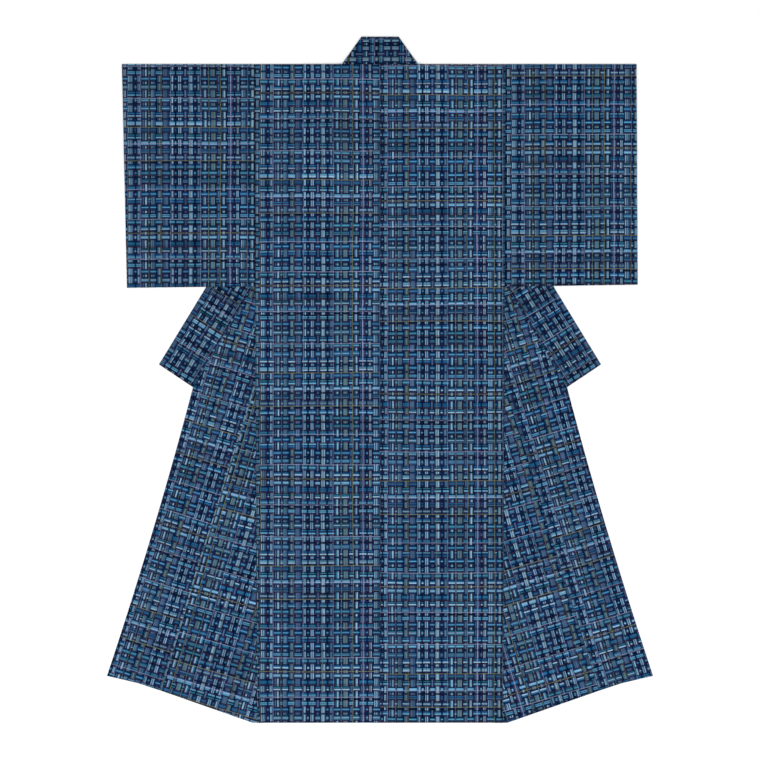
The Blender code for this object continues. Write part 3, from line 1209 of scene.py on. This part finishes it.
def looked_up(tree, place, stops, repeat):
    """Colour and fourth number of a chart at a place along it, from a chain of short ramps."""
    tint, fourth = None, None
    for first in range(0, len(stops), STOPS_IN_A_RAMP):
        group = stops[first : first + STOPS_IN_A_RAMP]
        start = group[0][0]
        rest = stops[first + STOPS_IN_A_RAMP :]
        end = rest[0][0] if rest else repeat
        made = add_node(tree, "ShaderNodeValToRGB")
        ramp = made.color_ramp
        ramp.interpolation = "CONSTANT"
        ramp.elements.remove(ramp.elements[1])
        for index, (at, value) in enumerate(group):
            share_along = (at - start) / (end - start)
            stop = ramp.elements[0] if index == 0 else ramp.elements.new(share_along)
            stop.position = share_along
            stop.color = value
        feed(tree, made.inputs["Fac"], remapped(tree, place, start, end))
        if tint is None:
            tint, fourth = made.outputs["Color"], made.outputs["Alpha"]
        else:
            past = sum_of(tree, "GREATER_THAN", place, start)
            tint = blended(tree, past, tint, made.outputs["Color"])
            fourth = either(tree, past, fourth, made.outputs["Alpha"])
    return tint, fourth


def swing(tree, value, reach, part):
    """A number made a factor of light, which swings round 1 by a share."""
    return remapped(tree, value, *reach, 1.0 - part, 1.0 + part)


def noise(tree, place, scale, detail=1.0):
    made = add_node(tree, "ShaderNodeTexNoise")
    feed(tree, made.inputs["Vector"], place)
    made.inputs["Scale"].default_value = scale
    made.inputs["Detail"].default_value = detail
    return made.outputs


def streaks(tree, place, scales, detail=1.0):
    """Noise whose cells are longer one way than the other."""
    made = add_node(tree, "ShaderNodeMapping")
    feed(tree, made.inputs["Vector"], place)
    made.inputs["Scale"].default_value = (*scales, 1.0)
    return noise(tree, made.outputs["Vector"], 1.0, detail)["Fac"]


def strayed(tree, place, scale, reach):
    """The place on the bolt, moved a little by noise, as hand thrown threads stray."""
    away = add_node(tree, "ShaderNodeVectorMath", operation="SUBTRACT")
    feed(tree, away.inputs[0], noise(tree, place, scale)["Color"])
    away.inputs[1].default_value = (0.5, 0.5, 0.5)
    sized = add_node(tree, "ShaderNodeVectorMath", operation="SCALE")
    feed(tree, sized.inputs[0], away.outputs[0])
    sized.inputs["Scale"].default_value = reach
    made = add_node(tree, "ShaderNodeVectorMath", operation="ADD")
    feed(tree, made.inputs[0], place)
    feed(tree, made.inputs[1], sized.outputs[0])
    return made.outputs[0]


def weave_material():
    """The block weave: warp columns and weft rows of two kinds, and the thread on top where they meet."""
    name = "block weave"
    if name in bpy.data.materials:
        return bpy.data.materials[name]
    finish = bpy.context.scene.kimono_finish
    material = bpy.data.materials.new(name)
    material.use_nodes = True
    tree = material.node_tree
    shader = tree.nodes["Principled BSDF"]
    bolt = add_node(tree, "ShaderNodeUVMap", uv_map="Bolt").outputs["UV"]
    place = bolt
    for scale, reach in STRAYS:
        place = strayed(tree, place, scale, reach)
    split = add_node(tree, "ShaderNodeSeparateXYZ")
    feed(tree, split.inputs[0], place)
    warp_stops, warp_repeat = chart_stops(WARP_CHART)
    weft_stops, weft_repeat = chart_stops(WEFT_CHART)
    across = sum_of(tree, "FLOORED_MODULO", split.outputs["X"], warp_repeat)
    along = sum_of(tree, "FLOORED_MODULO", split.outputs["Y"], weft_repeat)
    warp_tint, warp_kind = looked_up(tree, across, warp_stops, warp_repeat)
    weft_tint, weft_kind = looked_up(tree, along, weft_stops, weft_repeat)
    warp_on_top = sum_of(tree, "ABSOLUTE", sum_of(tree, "SUBTRACT", warp_kind, weft_kind))
    top_warp = blended(tree, finish.under_shows, warp_tint, weft_tint)
    top_weft = blended(tree, finish.under_shows, weft_tint, warp_tint)
    tint = blended(tree, warp_on_top, top_weft, top_warp)
    for line, threads, repeat in (
        (across, WARP_THREADS, warp_repeat),
        (along, WEFT_THREADS, weft_repeat),
    ):
        thread_tint, cover = looked_up(tree, line, *thread_stops(threads, repeat))
        tint = blended(tree, cover, tint, thread_tint)

    warp_slub = streaks(tree, place, WARP_SLUB, 2.0)
    weft_slub = streaks(tree, place, WEFT_SLUB, 2.0)
    slub = either(tree, warp_on_top, weft_slub, warp_slub)
    turns = 2.0 * math.pi / finish.rib
    warp_rib = sum_of(tree, "SINE", sum_of(tree, "MULTIPLY", split.outputs["X"], turns))
    weft_rib = sum_of(tree, "SINE", sum_of(tree, "MULTIPLY", split.outputs["Y"], turns))
    rib = either(tree, warp_on_top, weft_rib, warp_rib)
    warp_stripe = streaks(tree, place, WARP_STRIPE)
    weft_stripe = streaks(tree, place, WEFT_STRIPE)
    stripe = either(tree, warp_on_top, weft_stripe, warp_stripe)
    # Painted shade in seams, at edges and over the sleeves, with the collar's own darker tone, read from
    # the mesh
    dark = add_node(tree, "ShaderNodeAttribute", attribute_name="seam_shade").outputs["Fac"]
    light = swing(tree, slub, SLUB_RANGE, SLUB_SWING)
    for factor in (
        swing(tree, stripe, NOISE_RANGE, finish.stripe),
        swing(tree, noise(tree, bolt, DYE, 2.0)["Fac"], NOISE_RANGE, finish.mottle),
        swing(tree, streaks(tree, bolt, ROW_DYE), NOISE_RANGE, finish.mottle),
        remapped(tree, dark, 0.0, FULLEST_SHADE_AND_TONE, 1.0, 1.0 - FULLEST_SHADE_AND_TONE * finish.shade_and_tone_strength),
        finish.tone,
        # Painted shade between the threads
        swing(tree, rib, (-1.0, 1.0), finish.rib_painted_shade),
    ):
        light = sum_of(tree, "MULTIPLY", light, factor)
    lit = add_node(tree, "ShaderNodeVectorMath", operation="SCALE")
    feed(tree, lit.inputs[0], tint)
    feed(tree, lit.inputs["Scale"], light)
    feed(tree, shader.inputs["Base Color"], lit.outputs[0])

    height = sum_of(tree, "ADD", sum_of(tree, "MULTIPLY", rib, RIB_IN_RELIEF), slub)
    bump = add_node(tree, "ShaderNodeBump")
    bump.inputs["Strength"].default_value = BUMP_STRENGTH
    bump.inputs["Distance"].default_value = finish.relief
    feed(tree, bump.inputs["Height"], height)
    feed(tree, shader.inputs["Normal"], bump.outputs["Normal"])
    shader.inputs["Roughness"].default_value = finish.roughness
    shader.inputs["Specular IOR Level"].default_value = finish.specular
    shader.inputs["Sheen Weight"].default_value = finish.sheen
    shader.inputs["Sheen Roughness"].default_value = SHEEN_ROUGHNESS
    return material


class KIMONO_OT_stage(bpy.types.Operator):
    """Sets the pale table, the soft light and the camera straight above"""

    bl_idname = "kimono.stage"
    bl_label = "Table, light and camera"

    def execute(self, context):
        stage = context.scene.kimono_stage
        bpy.ops.object.select_all(action="DESELECT")
        bpy.ops.mesh.primitive_plane_add(size=stage.table_size)
        table = context.object
        table.name = "table"
        material = bpy.data.materials.new("pale table")
        material.use_nodes = True
        shader = material.node_tree.nodes["Principled BSDF"]
        tint = tuple(context.scene.kimono_colours.table) + (1.0,)
        shader.inputs["Base Color"].default_value = tint
        shader.inputs["Roughness"].default_value = TABLE_ROUGHNESS
        shader.inputs["Specular IOR Level"].default_value = TABLE_GLOSS
        table.data.materials.append(material)

        world = bpy.data.worlds.new("soft sky")
        world.use_nodes = True
        sky = world.node_tree.nodes["Background"]
        sky.inputs["Color"].default_value = (1.0, 1.0, 1.0, 1.0)
        sky.inputs["Strength"].default_value = stage.sky
        context.scene.world = world

        lamp = bpy.data.lights.new("large lamp", "AREA")
        lamp.energy = stage.lamp
        lamp.size = stage.lamp_size
        lamp_object = bpy.data.objects.new("large lamp", lamp)
        lamp_object.location = LAMP_PLACE
        lamp_object.rotation_euler = (-lamp_object.location).to_track_quat("-Z", "Y").to_euler()
        context.collection.objects.link(lamp_object)

        camera = bpy.data.cameras.new("camera above")
        camera.lens = camera.sensor_width * stage.camera_height / stage.view_width
        camera_object = bpy.data.objects.new("camera above", camera)
        camera_object.location = (0.0, -stage.view_shift, stage.camera_height)
        context.collection.objects.link(camera_object)
        context.scene.camera = camera_object
        context.scene.view_settings.view_transform = "Standard"
        return {"FINISHED"}


class KIMONO_PT_panel(bpy.types.Panel):
    """Lists the kimono's sizes, colours and pieces"""

    bl_idname = "KIMONO_PT_panel"
    bl_label = "Kimono"
    bl_space_type = "VIEW_3D"
    bl_region_type = "UI"
    bl_category = "Kimono"

    def draw(self, context):
        for setting in SETTINGS:
            settings = getattr(context.scene, setting)
            column = self.layout.column()
            for name in settings.bl_rna.properties.keys():
                if name not in ("rna_type", "name"):
                    column.prop(settings, name)
        for piece in PIECES:
            self.layout.operator(piece.bl_idname)


SETTINGS = {
    "kimono_cloth": KimonoCloth,
    "kimono_finish": KimonoFinish,
    "kimono_colours": KimonoColours,
    "kimono_stage": KimonoStage,
}
PIECES = (KIMONO_OT_body, KIMONO_OT_sleeves, KIMONO_OT_okumi, KIMONO_OT_collar, KIMONO_OT_stage)
CLASSES = (*SETTINGS.values(), *PIECES, KIMONO_PT_panel)


def register():
    for item in CLASSES:
        bpy.utils.register_class(item)
    for name, group in SETTINGS.items():
        setattr(bpy.types.Scene, name, bpy.props.PointerProperty(type=group))


def unregister():
    for name in SETTINGS:
        delattr(bpy.types.Scene, name)
    for item in reversed(CLASSES):
        bpy.utils.unregister_class(item)


def main():
    register()
    bpy.ops.kimono.body()
    bpy.ops.kimono.sleeves()
    bpy.ops.kimono.okumi()
    bpy.ops.kimono.collar()
    bpy.ops.kimono.stage()


if __name__ == "__main__":
    main()
